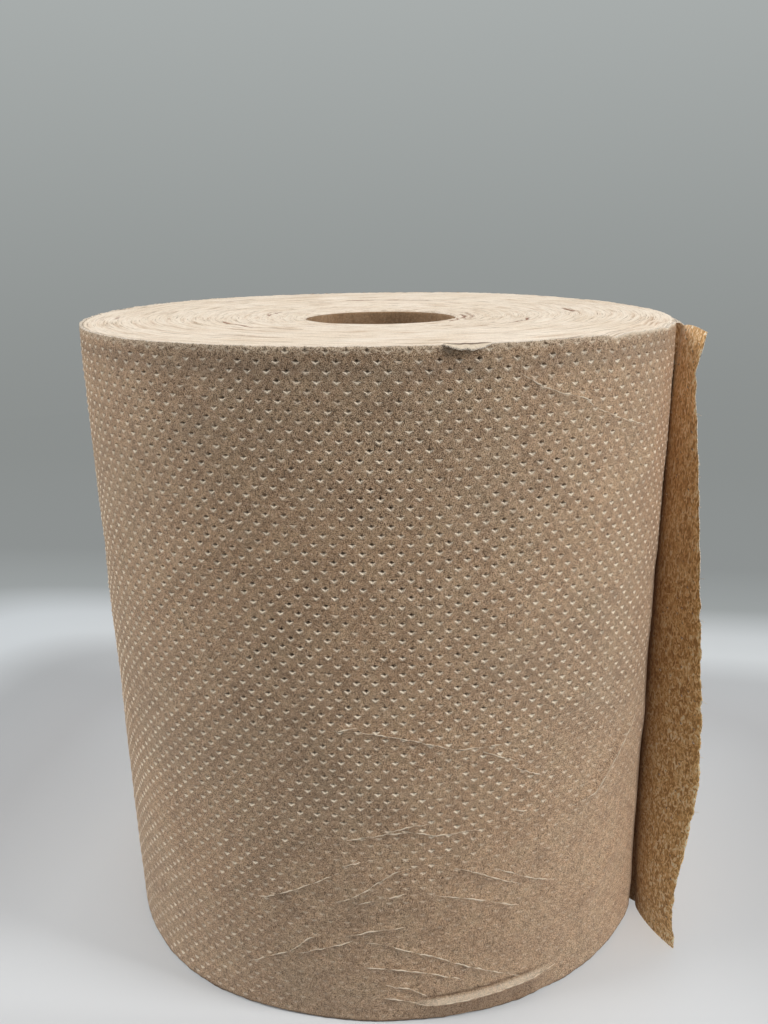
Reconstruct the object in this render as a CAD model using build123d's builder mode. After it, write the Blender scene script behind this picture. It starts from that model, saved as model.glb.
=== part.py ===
from build123d import *
import os
from math import cos, radians, sin

os.makedirs("parts", exist_ok=True)

# Hard-wound paper towel roll standing on one end, with the end of its outer turn torn and sprung loose.
# Sizes are in millimetres. The origin is on the core's axis, in the plane the roll stands on. +Z runs up
# the core's axis, and -Y is the front. Angles are in degrees, counted from +X anticlockwise seen from above.

# The wound web: one sheet of paper, a few hundred turns of it.
roll_radius = 95.0
roll_width = 203.0
packed_flat = 0.95  # how far the four flats pressed by the carton fall inside a true circle
dish_depth = 1.6  # how far the upper end face sinks towards the core
dish_start_radius = 72.0  # outside this, the upper end face is flat

# The paperboard core that the web is wound on.
core_bore_radius = 23.5
core_wall = 1.2
core_recess = 0.4  # how far the core stops short of the innermost turn at the upper end

# The turns. They are drawn far fewer and thicker than the real ones, as a narrow spiral gap between them
# that is cut into both end faces. The gap starts half a turn out from the core.
turn_count = 5
turn_gap = 0.4
turn_gap_depth = 0.9
first_turn_thickness = 4.0
last_turn_thickness = 2.5

# The torn end of the outer turn. Each row is one height, as a share of the roll's width, with the angle
# where the paper leaves the roll, the direction in which it stands off, and its free length there.
paper_thickness = 0.3
tail_rows = [
    (0.00, -28.0, -71.0, 23.0),
    (0.12, -28.0, -66.0, 22.0),
    (0.30, -28.0, -55.0, 24.0),
    (0.50, -27.0, -65.0, 24.0),
    (0.74, -23.5, -80.0, 24.0),
    (0.91, -19.5, -92.0, 24.0),
    (1.00, -19.0, -89.0, 25.0),
]
tail_top_drop = 2.0  # the outer turn sits this far below the upper end face
tail_root_depth = 1.2  # length of the tail sunk in the turns it peels from
tail_bow = 1.2  # how far the tail bows inwards between its root and its torn edge

# The pleat where the outer turn has slipped down and buckled above the foot of the roll. Each row is
# one place along its crest: the angle, the crest's height, and how far it stands off the roll.
pleat_rows = [
    (-80.0, 6.4, -0.2),
    (-74.0, 3.4, 0.6),
    (-67.5, 3.6, 1.1),
    (-61.0, 6.2, 0.6),
    (-56.0, 8.2, -0.2),
]
pleat_root_depth = 0.5  # how far the pleat's foot is sunk in the roll
pleat_rise = 1.4  # from the crest up to where the pleat meets the roll
pleat_fall = 2.2  # from the crest down to where it meets the roll

core_outer_radius = core_bore_radius + core_wall
core_length = roll_width - dish_depth - core_recess
tail_root_angle = tail_rows[-1][1]
flats = 4


def outline_radius(angle):
    """Outer radius of the roll at an angle: round, with four soft flats."""
    return roll_radius - packed_flat * cos(radians(flats * angle))


def polar(radius, angle):
    return (radius * cos(radians(angle)), radius * sin(radians(angle)))


def outline():
    """The closed outer curve, as an arc on each flat and one on each corner between them."""
    half_arc = 90 / flats
    for arc in range(2 * flats):
        middle = 2 * half_arc * arc
        angles = (middle - half_arc, middle, middle + half_arc)
        ThreePointArc(*[polar(outline_radius(angle), angle) for angle in angles])


def turn_arcs(sideways):
    """The spiral between turns as half circles about two centres. It winds clockwise and outwards."""
    innermost = core_outer_radius + first_turn_thickness
    outermost = roll_radius - packed_flat - last_turn_thickness
    pitch = (outermost - innermost) / turn_count
    centre_shift = pitch / 4
    arcs = []
    for half_turn in range(1, 2 * turn_count):
        far_side = half_turn % 2
        centre = polar(centre_shift if far_side else -centre_shift, tail_root_angle)
        radius = innermost + centre_shift * (2 * half_turn + 1) + sideways
        arcs.append(CenterArc(centre, radius, tail_root_angle - 180 * far_side, -180))
    return arcs


def turn_gap_outline():
    """The closed outline of the gap between the turns: its two spiral sides and its two short ends."""
    inner_side = turn_arcs(0)
    outer_side = turn_arcs(turn_gap)
    Line(inner_side[0] @ 0, outer_side[0] @ 0)
    Line(inner_side[-1] @ 1, outer_side[-1] @ 1)


# The torn tail, lofted up the roll through thin bowed strips, one for each row above.
with BuildPart() as tail:
    for share, root_angle, lift_direction, free_length in tail_rows:
        root = Vector(*polar(outline_radius(root_angle), root_angle))
        along = Vector(*polar(1, lift_direction))
        outwards = Vector(*polar(1, lift_direction + 90))
        start = root - along * tail_root_depth
        end = root + along * free_length
        middle = root + along * (free_length / 2) - outwards * tail_bow
        side = outwards * paper_thickness
        with BuildSketch(Plane.XY.offset(share * (roll_width - tail_top_drop))):
            with BuildLine():
                ThreePointArc(start, middle, end)
                Line(end, end + side)
                ThreePointArc(end + side, middle + side, start + side)
                Line(start + side, start)
            make_face()
    loft()

# The pleat, lofted round the roll through upright triangles whose crests stand proud of it.
with BuildPart() as pleat:
    for angle, crest_height, stand_off in pleat_rows:
        surface = outline_radius(angle)
        foot = surface - pleat_root_depth
        upright = Plane(origin=(0, 0, 0), x_dir=(*polar(1, angle), 0), z_dir=(*polar(1, angle - 90), 0))
        with BuildSketch(upright):
            with BuildLine():
                Polyline(
                    (foot, crest_height - pleat_fall),
                    (surface + stand_off, crest_height),
                    (foot, crest_height + pleat_rise),
                    close=True,
                )
            make_face()
    loft()

# The wound web: the wound sheet's section run up the roll, dished, cut by the gap between its turns, and
# joined to its loose parts.
with BuildPart() as paper_web:
    with BuildSketch():
        with BuildLine():
            outline()
        make_face()
        Circle(core_outer_radius, mode=Mode.SUBTRACT)
    extrude(amount=roll_width)
    with BuildSketch(Plane.XZ):
        with BuildLine():
            Polyline(
                (0, roll_width),
                (dish_start_radius, roll_width),
                (core_outer_radius, roll_width - dish_depth),
                (0, roll_width - dish_depth),
                close=True,
            )
        make_face()
    revolve(axis=Axis.Z, mode=Mode.SUBTRACT)
    with BuildSketch():
        with BuildLine():
            turn_gap_outline()
        make_face()
    extrude(amount=turn_gap_depth, mode=Mode.SUBTRACT)
    with BuildSketch(Plane.XY.offset(roll_width - dish_depth - turn_gap_depth)):
        with BuildLine():
            turn_gap_outline()
        make_face()
    extrude(amount=dish_depth + turn_gap_depth, mode=Mode.SUBTRACT)
    add(tail.part)
    add(pleat.part)
paper_web.part.label = "paper_web"
export_step(paper_web.part, "parts/paper_web.step")

with BuildPart() as core_tube:
    with BuildSketch():
        Circle(core_outer_radius)
        Circle(core_bore_radius, mode=Mode.SUBTRACT)
    extrude(amount=core_length)
core_tube.part.label = "core_tube"
export_step(core_tube.part, "parts/core_tube.step")
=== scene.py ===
import math

import bpy
import numpy as np
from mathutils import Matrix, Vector


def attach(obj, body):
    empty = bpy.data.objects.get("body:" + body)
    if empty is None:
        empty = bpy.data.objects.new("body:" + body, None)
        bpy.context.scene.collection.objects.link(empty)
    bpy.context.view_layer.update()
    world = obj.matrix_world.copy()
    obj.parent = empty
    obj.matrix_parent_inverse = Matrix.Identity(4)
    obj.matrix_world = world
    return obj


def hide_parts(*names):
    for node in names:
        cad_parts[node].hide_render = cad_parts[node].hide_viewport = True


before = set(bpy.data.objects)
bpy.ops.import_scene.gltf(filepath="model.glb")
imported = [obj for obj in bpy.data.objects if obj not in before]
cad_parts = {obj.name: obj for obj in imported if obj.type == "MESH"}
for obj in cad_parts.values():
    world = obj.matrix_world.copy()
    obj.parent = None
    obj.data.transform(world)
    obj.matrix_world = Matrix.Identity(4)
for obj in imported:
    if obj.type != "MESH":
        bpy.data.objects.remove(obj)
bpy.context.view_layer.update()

# The view. A camera stands in front of the roll at a little over its height and looks down on it, so that
# both the upper end face and the embossed side show.
def put_in_scene(name, data):
    made = bpy.data.objects.new(name, data)
    bpy.context.scene.collection.objects.link(made)
    return made


photo_view = bpy.data.cameras.new("photo_view")
photo_view.sensor_width = 36.0
photo_view.lens = 33.744
photo_view.shift_x = -0.0287
photo_view.shift_y = 0.0336
camera = put_in_scene("photo_view", photo_view)
camera.location = (0.0, -0.32526, 0.23068)
camera.rotation_euler = [math.radians(turn) for turn in (71.384, 0.576, -1.970)]
bpy.context.scene.camera = camera
bpy.context.scene.view_settings.view_transform = "Standard"

# The studio. A pale floor runs out to a grey sweep all round, under an even grey sky with three soft lamps:
# one overhead and one to each side. Only the camera sees the sweep, so it doesn't change the light on the roll.
floor_edge = 1.0
sweep_bend = 0.4
sweep_height = 1.7
ring_segments = 96
pool_turn = 9.5  # degrees that the pool of light on the floor is turned by
pool_widening = 0.72  # how much slower it fades sideways
paint_ends, glow_starts = 0.24, 0.34


def revolved(name, profile, segments):
    """A surface of revolution about the Z axis from (radius, height) pairs, in metres."""
    angles = np.linspace(0, 2 * np.pi, segments, endpoint=False)
    points = [(r * math.cos(a), r * math.sin(a), z) for r, z in profile for a in angles]
    faces = []
    for ring in range(len(profile) - 1):
        for side in range(segments):
            here, following = ring * segments + side, ring * segments + (side + 1) % segments
            faces.append((here, following, following + segments, here + segments))
    mesh = bpy.data.meshes.new(name)
    mesh.from_pydata(points, [], faces)
    return put_in_scene(name, mesh)


def new_material(name):
    made = bpy.data.materials.new(name)
    made.use_nodes = True
    made.node_tree.nodes.clear()
    return made, made.node_tree


def add_node(tree, kind, values=(), **settings):
    """A node with its settings, and with its inputs given by name as constants or as sockets to link."""
    node = tree.nodes.new(kind)
    for key, value in settings.items():
        setattr(node, key, value)
    for socket, value in dict(values).items():
        if isinstance(value, bpy.types.NodeSocket):
            tree.links.new(value, node.inputs[socket])
        else:
            node.inputs[socket].default_value = value
    return node


def maths(tree, operation, first, second=0.0, third=0.0, clamp=False):
    inputs = {0: first, 1: second, 2: third}
    return add_node(tree, "ShaderNodeMath", inputs, operation=operation, use_clamp=clamp).outputs[0]


def ramp(tree, factor, stops):
    """A colour ramp from (position, colour) stops."""
    node = add_node(tree, "ShaderNodeValToRGB", {"Fac": factor})
    while len(node.color_ramp.elements) < len(stops):
        node.color_ramp.elements.new(1.0)
    for element, (position, colour) in zip(node.color_ramp.elements, stops):
        element.position = position
        element.color = (*colour, 1.0)
    return node.outputs["Color"]


def mixed(tree, factor, first, second, blend="MIX"):
    """One colour laid over another. Either may be a constant or a socket."""
    values = {"Factor": factor}
    for socket, colour in ((6, first), (7, second)):  # the node's two colour inputs
        values[socket] = colour if isinstance(colour, bpy.types.NodeSocket) else (*colour, 1.0)
    return add_node(tree, "ShaderNodeMix", values, data_type="RGBA", blend_type=blend).outputs[2]


def on_piece(tree):
    """Coordinates that belong to the piece itself."""
    return add_node(tree, "ShaderNodeTexCoord").outputs["Object"]


def multiplied(tree, colour, by):
    return mixed(tree, 1.0, colour, by, "MULTIPLY")


def shifted(tree, place, stretch):
    """Coordinates stretched along each axis."""
    return add_node(tree, "ShaderNodeMapping", {"Vector": place, "Scale": stretch}).outputs[0]


studio_material, tree = new_material("studio_grey")
place = on_piece(tree)
split = add_node(tree, "ShaderNodeSeparateXYZ", {0: place})
height = split.outputs["Z"]
turned = add_node(tree, "ShaderNodeVectorRotate", {"Vector": place, "Angle": math.radians(pool_turn)})
turned_place = shifted(tree, turned.outputs[0], (pool_widening, 1.0, 1.0))
turned_split = add_node(tree, "ShaderNodeSeparateXYZ", {0: turned_place})


def rounded_distance(place, power):
    """Distance from the middle of the floor, rounded at power 2 and squarer at higher ones."""
    sides = [maths(tree, "POWER", maths(tree, "ABSOLUTE", place.outputs[side]), power) for side in "XY"]
    return maths(tree, "POWER", maths(tree, "ADD", *sides), 1 / power)


outwards = rounded_distance(split, 2.0)
# The floor's colour paints a pool of light round the roll, turned by pool_turn and widened sideways, with a
# darker ring and a bright band before it turns grey. Far from the roll the floor, and all of the sweep, show
# their colour to the camera as a glow, lighter higher up the sweep.
floor_tone_and_light = ramp(tree, rounded_distance(turned_split, 8.0), [
    (0.08, (0.72, 0.75, 0.78)),
    (0.12, (0.55, 0.565, 0.585)),
    (0.155, (0.51, 0.53, 0.55)),
    (0.185, (0.64, 0.675, 0.70)),
    (0.212, (0.58, 0.61, 0.63)),
    (0.255, (0.33, 0.35, 0.35)),
    (0.33, (0.27, 0.285, 0.283)),
    (0.62, (0.26, 0.275, 0.27)),
    (1.00, (0.265, 0.28, 0.275)),
])
wall_tone = ramp(tree, maths(tree, "DIVIDE", height, 0.7), [
    (0.0, (0.265, 0.28, 0.275)),
    (0.33, (0.315, 0.335, 0.33)),
    (0.85, (0.40, 0.425, 0.42)),
])
tone = mixed(tree, maths(tree, "GREATER_THAN", height, 0.001), floor_tone_and_light, wall_tone)
paint = add_node(tree, "ShaderNodeBsdfPrincipled", {
    "Base Color": tone, "Roughness": 0.85, "Specular IOR Level": 0.15,
})
glow = add_node(tree, "ShaderNodeEmission", {"Color": tone, "Strength": 1.0})
far_away = add_node(tree, "ShaderNodeMapRange", {
    "Value": outwards, "From Min": paint_ends, "From Max": glow_starts,
}, interpolation_type="SMOOTHSTEP").outputs[0]
seen = add_node(tree, "ShaderNodeLightPath").outputs["Is Camera Ray"]
shown = add_node(tree, "ShaderNodeMixShader", {
    0: maths(tree, "MULTIPLY", far_away, seen), 1: paint.outputs[0], 2: glow.outputs[0],
})
add_node(tree, "ShaderNodeOutputMaterial", {"Surface": shown.outputs[0]})

floor_rings = [(0.0002, 0.0), (0.15, 0.0), (0.3, 0.0), (0.6, 0.0), (floor_edge, 0.0)]
floor = revolved("studio_floor", floor_rings, ring_segments)
bend = [math.radians(step * 10) for step in range(10)]
sweep_rings = [(floor_edge + sweep_bend * math.sin(a), sweep_bend * (1 - math.cos(a))) for a in bend]
sweep = revolved("studio_sweep", sweep_rings + [(floor_edge + sweep_bend, sweep_height)], ring_segments)
for stage_piece in (floor, sweep):
    stage_piece.data.materials.append(studio_material)
for polygon in sweep.data.polygons:
    polygon.use_smooth = True
sweep.visible_diffuse = False
sweep.visible_glossy = False
sweep.visible_shadow = False
sweep.visible_transmission = False

sky = bpy.data.worlds.new("even_grey_sky")
bpy.context.scene.world = sky
sky.use_nodes = True
sky_light = sky.node_tree.nodes["Background"]
sky_light.inputs["Color"].default_value = (0.97, 0.985, 1.0, 1.0)
sky_light.inputs["Strength"].default_value = 0.245
lamps_look_at = Vector((0.0, 0.0, 0.1))
for name, size, energy, place in (
    ("overhead_lamp", 0.8, 2.9, (0.05, -0.02, 1.25)),
    ("right_lamp", 0.4, 13.2, (1.08, -0.44, 0.76)),
    ("left_lamp", 0.7, 11.8, (-1.15, -0.10, 0.80)),
):
    lamp = bpy.data.lights.new(name, "AREA")
    lamp.shape = "SQUARE"
    lamp.size = size
    lamp.energy = energy
    lamp.color = (1.0, 0.985, 0.96)
    lamp_stand = put_in_scene(name, lamp)
    lamp_stand.location = place
    lamp_stand.rotation_euler = (lamps_look_at - Vector(place)).to_track_quat("-Z", "Y").to_euler()

# The core. A thin tube of grey-brown paperboard, wound from narrow plies along a helix, so that a low step
# runs round the inside of the bore and the cut ends show the edges of the plies.
MM = 0.001
core_bore_radius = 23.5
core_outer_radius = 24.7
core_length = 201.0
core_segments = 168
ply_pitch = 62.0
ply_step = 0.16
ply_step_run = 0.02  # the share of a turn over which the step rises
ply_count = 8
ply_recess = 0.12  # how far every other ply's edge falls short at the cut ends


def add_made(name, mesh, node):
    """Puts a finished mesh in the scene as a piece of the roll, in place of a plain node."""
    made = put_in_scene(name, mesh)
    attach(made, "root")
    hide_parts(node)
    return made


def add_piece(name, points, triangles, material, node):
    """A closed smooth piece from an array of points in millimetres and an array of triangles."""
    mesh = bpy.data.meshes.new(name)
    mesh.from_pydata((points * MM).tolist(), [], triangles.tolist())
    mesh.polygons.foreach_set("use_smooth", np.ones(len(triangles), bool))
    mesh.materials.append(material)
    return add_made(name, mesh, node)


def round_axis(radius, angle, height):
    """Points at a radius, an angle in radians and a height, which are arrays of one shape."""
    return np.stack([radius * np.cos(angle), radius * np.sin(angle), height], -1)


def store(mesh, name, values, domain="POINT"):
    """Keeps one number or one vector for each point or face of a mesh."""
    vector = values.ndim == 2
    kept = mesh.attributes.new(name, "FLOAT_VECTOR" if vector else "FLOAT", domain)
    kept.data.foreach_set("vector" if vector else "value", values.astype(np.float32).ravel())


def noise(tree, place, scale, detail, roughness, distortion=0.0):
    return add_node(tree, "ShaderNodeTexNoise", {
        "Vector": place, "Scale": scale, "Detail": detail, "Roughness": roughness, "Distortion": distortion,
    }).outputs["Fac"]


def object_noise(tree, scale, detail=3.0, roughness=0.55, stretch=(1.0, 1.0, 1.0), distortion=0.0):
    """Noise on the piece's own coordinates, at a scale in marks per metre."""
    return noise(tree, shifted(tree, on_piece(tree), stretch), scale, detail, roughness, distortion)


def greyed(tree, value):
    """A grey as light as a value."""
    return add_node(tree, "ShaderNodeCombineColor", {0: value, 1: value, 2: value}).outputs[0]


paper_flecks = bpy.data.node_groups.new("paper_flecks", "ShaderNodeTree")
for socket in ("Fleck Size", "Fibre Size", "Contrast"):
    paper_flecks.interface.new_socket(socket, in_out="INPUT", socket_type="NodeSocketFloat")
for socket in ("Tone", "Fibres"):
    paper_flecks.interface.new_socket(socket, in_out="OUTPUT", socket_type="NodeSocketFloat")
tree = paper_flecks
given = add_node(tree, "NodeGroupInput")
place = on_piece(tree)
fleck_scale = maths(tree, "DIVIDE", 1.0, given.outputs["Fleck Size"])
fibre_scale = maths(tree, "DIVIDE", 1.0, given.outputs["Fibre Size"])
clumped_scale = maths(tree, "MULTIPLY", fleck_scale, 0.3)
fine = noise(tree, place, fleck_scale, 1.0, 0.9)
clumped = noise(tree, place, clumped_scale, 2.0, 0.6)
strands = noise(tree, place, fibre_scale, 2.0, 0.5, 1.6)
ridge = maths(tree, "ABSOLUTE", maths(tree, "SUBTRACT", strands, 0.5))
ridge = maths(tree, "SUBTRACT", 1.0, maths(tree, "MULTIPLY", ridge, 22.0), clamp=True)
unevenness = maths(tree, "ADD", maths(tree, "SUBTRACT", fine, 0.5),
                   maths(tree, "MULTIPLY", maths(tree, "SUBTRACT", clumped, 0.5), 0.34))
centred = maths(tree, "MULTIPLY", unevenness, given.outputs["Contrast"])
fleck_tone = maths(tree, "MAXIMUM", maths(tree, "ADD", 1.0, centred), 0.25)
add_node(tree, "NodeGroupOutput", {"Tone": fleck_tone, "Fibres": ridge})


def flecks(tree, fleck_size, fibre_size, contrast):
    """Places the paper's fleck and fibre pattern in a material. Sizes are in millimetres."""
    group = add_node(tree, "ShaderNodeGroup", node_tree=paper_flecks)
    group.inputs["Fleck Size"].default_value = fleck_size * MM
    group.inputs["Fibre Size"].default_value = fibre_size * MM
    group.inputs["Contrast"].default_value = contrast
    return group.outputs


def finish_paper(tree, tone, roughness, specular, relief, strength, depth, sheen=()):
    """Ends the material of a piece: its colour, how matt it is, and its fine relief with a depth in metres."""
    dents = add_node(tree, "ShaderNodeBump", {"Height": relief, "Strength": strength, "Distance": depth})
    surface = add_node(tree, "ShaderNodeBsdfPrincipled", {
        "Base Color": tone, "Roughness": roughness, "Specular IOR Level": specular, "Normal": dents.outputs[0],
        **dict(sheen),
    })
    add_node(tree, "ShaderNodeOutputMaterial", {"Surface": surface.outputs[0]})


board_material, tree = new_material("core_paperboard")
marks = flecks(tree, 0.9, 3.0, 0.9)
blotches = object_noise(tree, 90.0)
board_tone = ramp(tree, blotches, [(0.3, (0.225, 0.137, 0.075)), (0.7, (0.31, 0.20, 0.115))])
board_tone = multiplied(tree, board_tone, greyed(tree, marks["Tone"]))
board_tone = mixed(tree, maths(tree, "MULTIPLY", marks["Fibres"], 0.25), board_tone, (0.50, 0.38, 0.26))
finish_paper(tree, board_tone, 0.88, 0.2, marks["Tone"], 0.4, 0.0001)

core_rises = np.linspace(0.4, core_length - 0.4, 110)
ply_edges = np.linspace(core_bore_radius, core_outer_radius, ply_count + 1)
inside = [(core_bore_radius, z) for z in (0.0, *core_rises, core_length)]
upper = [(r, core_length - (ply_recess if ply % 2 else 0.0)) for ply, r in enumerate(ply_edges[1:-1], 1)]
outside = [(core_outer_radius, core_length), (core_outer_radius, 0.0)]
lower = [(r, ply_recess if ply % 2 else 0.0) for ply, r in enumerate(ply_edges[-2:0:-1], 1)]
profile = np.array(inside + upper + outside + lower)
angles = np.linspace(0, 2 * np.pi, core_segments, endpoint=False)
radii = np.repeat(profile[:, :1], core_segments, axis=1)
rises = np.repeat(profile[:, 1:], core_segments, axis=1)
helix = (rises / ply_pitch + angles / (2 * np.pi)) % 1.0
step = np.clip(helix / ply_step_run, 0, 1) * ply_step * (1 - helix)
radii[1:len(inside) - 1] -= step[1:len(inside) - 1]
points = round_axis(radii, angles, rises).reshape(-1, 3)
rings = np.arange(len(profile))[:, None] * core_segments
sides = np.arange(core_segments)[None, :]
next_rings = np.roll(rings, -1, axis=0)
next_sides = (sides + 1) % core_segments
a, b, c, d = rings + sides, rings + next_sides, next_rings + next_sides, next_rings + sides
triangles = np.concatenate([np.stack([a, c, b], 2).reshape(-1, 3), np.stack([a, d, c], 2).reshape(-1, 3)])
add_piece("core_board", points, triangles, board_material, "core_tube")

# The wound turns. One long sheet of soft paper is wound hard on the core, clockwise and outwards, so each
# end face is the cut edge of a few hundred turns: pale, finely lined, dished towards the core, and split by
# a few thin gaps where the winding slackened.
roll_radius = 95.0
packed_flat = 0.96
roll_height = 203.0
dish_depth = 1.6
dish_start_radius = 72.0
skin_thickness = 1.0
outer_end_angle = -19.0
steps_per_turn = 400
upper_turns = 185
lower_turns = 50
turn_unevenness = 0.036
band_unevenness = 0.070
wide_unevenness = 0.12
gap_half_width = 0.62
winding_gaps = [
    # the first and last angle of each gap, its radius and its depth
    (-160, -115, 52.4, 1.0), (-124, -113, 75.1, 0.8), (-116.5, -111, 66.4, 0.7), (-106.5, -103.5, 51.5, 0.6),
    (-100, -65, 53.0, 1.3), (-59.5, -19, 50.8, 1.1), (-58, -56, 60.4, 0.8), (41, 47, 44.2, 0.8),
    (-4, 11, 63.5, 0.9), (70, 118, 58.0, 1.0), (128, 139, 79.5, 0.7), (150, 171, 38.6, 0.9),
    (95, 104, 33.1, 0.8), (-178, -170, 84.1, 0.7), (-42, 14, 27.6, 0.8), (-30, 26, 30.2, 0.45),
]


def packed_radius(angle):
    """Outer radius of the roll, round with four soft flats where it was packed against its neighbours."""
    return roll_radius - packed_flat * np.cos(4 * angle)


def unsteady(position, seed, shortest, longest, waves=16):
    """A smooth random line that stays between about -1 and 1, from waves of random length and phase."""
    rng = np.random.default_rng(seed)
    lengths = np.exp(rng.uniform(math.log(shortest), math.log(longest), waves))
    phases = rng.uniform(0, 2 * np.pi, waves)
    total = np.zeros_like(position)
    for length, phase in zip(lengths, phases):
        total += np.sin(2 * np.pi * position / length + phase)
    return total / math.sqrt(waves)


def smooth_step(value):
    value = np.clip(value, 0.0, 1.0)
    return value * value * (3 - 2 * value)


def wrapped(degrees):
    return (degrees + 180) % 360 - 180


def between(degrees, first, fade_in, last, fade_out):
    """1 between two angles, falling smoothly to 0 at both."""
    degrees = wrapped(degrees)
    return smooth_step((degrees - first) / fade_in) * smooth_step((last - degrees) / fade_out)


def rim_drop(angle):
    """How far the outer turns have slipped down at the rim, most of it beside the torn tail."""
    degrees = wrapped(np.degrees(angle))
    beside_tail = between(degrees, -62, 45, 75, 60)
    first_nick = np.exp(-((degrees + 50.5) / 1.6) ** 2)
    second_nick = np.exp(-((degrees + 31.5) / 1.5) ** 2)
    return 1.1 * beside_tail + 0.7 * first_nick + 0.5 * second_nick + 0.07 * unsteady(degrees, 5, 1.1, 9.0)


def spiral_face(turns, margin):
    """Points of one end face as one long line wound outwards, and each point's place along it in turns."""
    place = np.arange(turns * steps_per_turn + 1) / steps_per_turn
    angle = math.radians(outer_end_angle) - 2 * np.pi * place
    share = place / turns
    radius = core_outer_radius + (packed_radius(angle) - margin - core_outer_radius) * share
    return place, angle, radius


def dished(radius):
    inwards = (dish_start_radius - radius) / (dish_start_radius - core_outer_radius)
    return roll_height - dish_depth * np.clip(inwards, 0, 1)


place, angle, radius = spiral_face(upper_turns, skin_thickness - 0.1)
degrees = wrapped(np.degrees(angle))
height = dished(radius)
height += turn_unevenness * unsteady(place, 11, 0.31, 2.9, 24)
height += band_unevenness * unsteady(radius + 1.5 * np.cos(angle - 1.0), 12, 2.0, 17.0)
side_to_side = unsteady(radius * np.cos(angle), 13, 14.0, 60.0)
front_to_back = unsteady(radius * np.sin(angle), 14, 14.0, 60.0)
height += wide_unevenness * side_to_side * front_to_back
near_rim = smooth_step((radius - 84.0) / 10.0)
height -= near_rim * rim_drop(angle)
gaps = np.zeros_like(height)
for first, last, gap_radius, depth in winding_gaps:
    along = np.sqrt(np.clip(np.minimum(degrees - first, last - degrees) / 6.0, 0, 1))
    wandering = gap_radius + 0.5 * unsteady(degrees, 16, 9.0, 40.0)
    in_gap = along * (np.abs(radius - wandering) < gap_half_width)
    height -= 0.3 * depth * in_gap
    gaps = np.maximum(gaps, in_gap * min(1.0, depth))
upper = round_axis(radius, angle, height)
lower_place, angle, radius = spiral_face(lower_turns, skin_thickness - 0.1)
height = np.maximum(0.06 + 0.04 * unsteady(lower_place, 15, 0.31, 2.9), 0.01)
lower = round_axis(radius, angle, height)


def spiral_faces(turns, start, upwards):
    """Triangles between each turn of a spiral line of points and the next."""
    inner = start + np.arange((turns - 1) * steps_per_turn)
    outer = inner + steps_per_turn
    near = np.stack([inner, inner + 1, outer + 1], 1)
    far = np.stack([inner, outer + 1, outer], 1)
    both = np.concatenate([near, far])
    return both if upwards else both[:, ::-1]


start = len(upper)
upper_inner = np.arange(steps_per_turn + 1)
lower_inner = upper_inner + start
upper_outer = upper_inner + (upper_turns - 1) * steps_per_turn
lower_outer = lower_inner + (lower_turns - 1) * steps_per_turn
walls = []
for top, bottom, turned in ((upper_inner, lower_inner, True), (upper_outer, lower_outer, False)):
    next_top, next_bottom = np.roll(top, -1), np.roll(bottom, -1)
    wall = np.concatenate([np.stack([top, next_top, next_bottom], 1), np.stack([top, next_bottom, bottom], 1)])
    walls.append(wall[:, ::-1] if turned else wall)
faces = [spiral_faces(upper_turns, 0, True), spiral_faces(lower_turns, start, False)]
triangles = np.concatenate(faces + walls)
points = np.concatenate([upper, lower])


def kept_value(tree, name):
    """A number that is stored on the mesh."""
    return add_node(tree, "ShaderNodeAttribute", attribute_name=name).outputs["Fac"]


end_grain = bpy.data.node_groups.new("end_grain", "ShaderNodeTree")
end_grain.interface.new_socket("Lines", in_out="INPUT", socket_type="NodeSocketFloat")
end_grain.interface.new_socket("Colour", in_out="OUTPUT", socket_type="NodeSocketColor")
end_grain.interface.new_socket("Height", in_out="OUTPUT", socket_type="NodeSocketFloat")
tree = end_grain
given = add_node(tree, "NodeGroupInput")
line_place = add_node(tree, "ShaderNodeAttribute", attribute_name="winding").outputs["Vector"]
fine_lines = noise(tree, shifted(tree, line_place, (0.8, 5.0, 5.0)), 1.0, 2.0, 0.8)
wide_lines = noise(tree, shifted(tree, line_place, (0.20, 3.0, 3.0)), 1.0, 3.0, 0.7)
warm = ramp(tree, wide_lines, [
    (0.26, (0.46, 0.31, 0.21)), (0.34, (0.66, 0.53, 0.41)), (0.42, (0.78, 0.67, 0.55)),
    (0.50, (0.81, 0.71, 0.595)), (0.60, (0.85, 0.765, 0.655)), (0.75, (0.76, 0.635, 0.51)),
])
shade = ramp(tree, fine_lines, [
    (0.28, (0.38, 0.30, 0.25)), (0.40, (0.86, 0.84, 0.81)), (0.50, (1.0, 1.0, 1.0)), (0.80, (1.08, 1.08, 1.08)),
])
blotch = object_noise(tree, 45.0, 3.0)
blotch = ramp(tree, blotch, [(0.35, (0.95, 0.93, 0.90)), (0.60, (1.0, 1.0, 1.0))])
lined = mixed(tree, given.outputs["Lines"], (1.0, 1.0, 1.0), shade)
colour = multiplied(tree, multiplied(tree, warm, lined), blotch)
add_node(tree, "NodeGroupOutput", {"Colour": colour, "Height": fine_lines})

end_material, tree = new_material("cut_paper_edges")
grain = add_node(tree, "ShaderNodeGroup", {"Lines": 1.0}, node_tree=end_grain)
marks = flecks(tree, 0.30, 1.6, 0.55)
end_tone = multiplied(tree, grain.outputs["Colour"], greyed(tree, marks["Tone"]))
# Painted shade: the gaps between the turns, and the foot of the outermost turn's wall, are painted dark.
end_tone = mixed(tree, kept_value(tree, "gap"), end_tone, (0.20, 0.075, 0.035))
finish_paper(tree, end_tone, 0.92, 0.15, grain.outputs["Height"], 0.35, 0.0001)
wound_turns = add_piece("wound_turns", points, triangles, end_material, "paper_web")
lower_lines = lower_place * upper_turns / lower_turns
round_roll = math.radians(outer_end_angle) - 2 * np.pi * np.concatenate([place, lower_place])
line_numbers = np.concatenate([place, lower_lines + 500.0])
winding = np.stack([line_numbers, np.cos(round_roll), np.sin(round_roll)], 1)
store(wound_turns.data, "winding", winding)
gaps = np.concatenate([gaps, np.zeros(len(points) - start)])
# The foot of the outer wall is painted dark, as the shade under the outer turn.
gaps[lower_outer] = 1.0
store(wound_turns.data, "gap", gaps)

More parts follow.
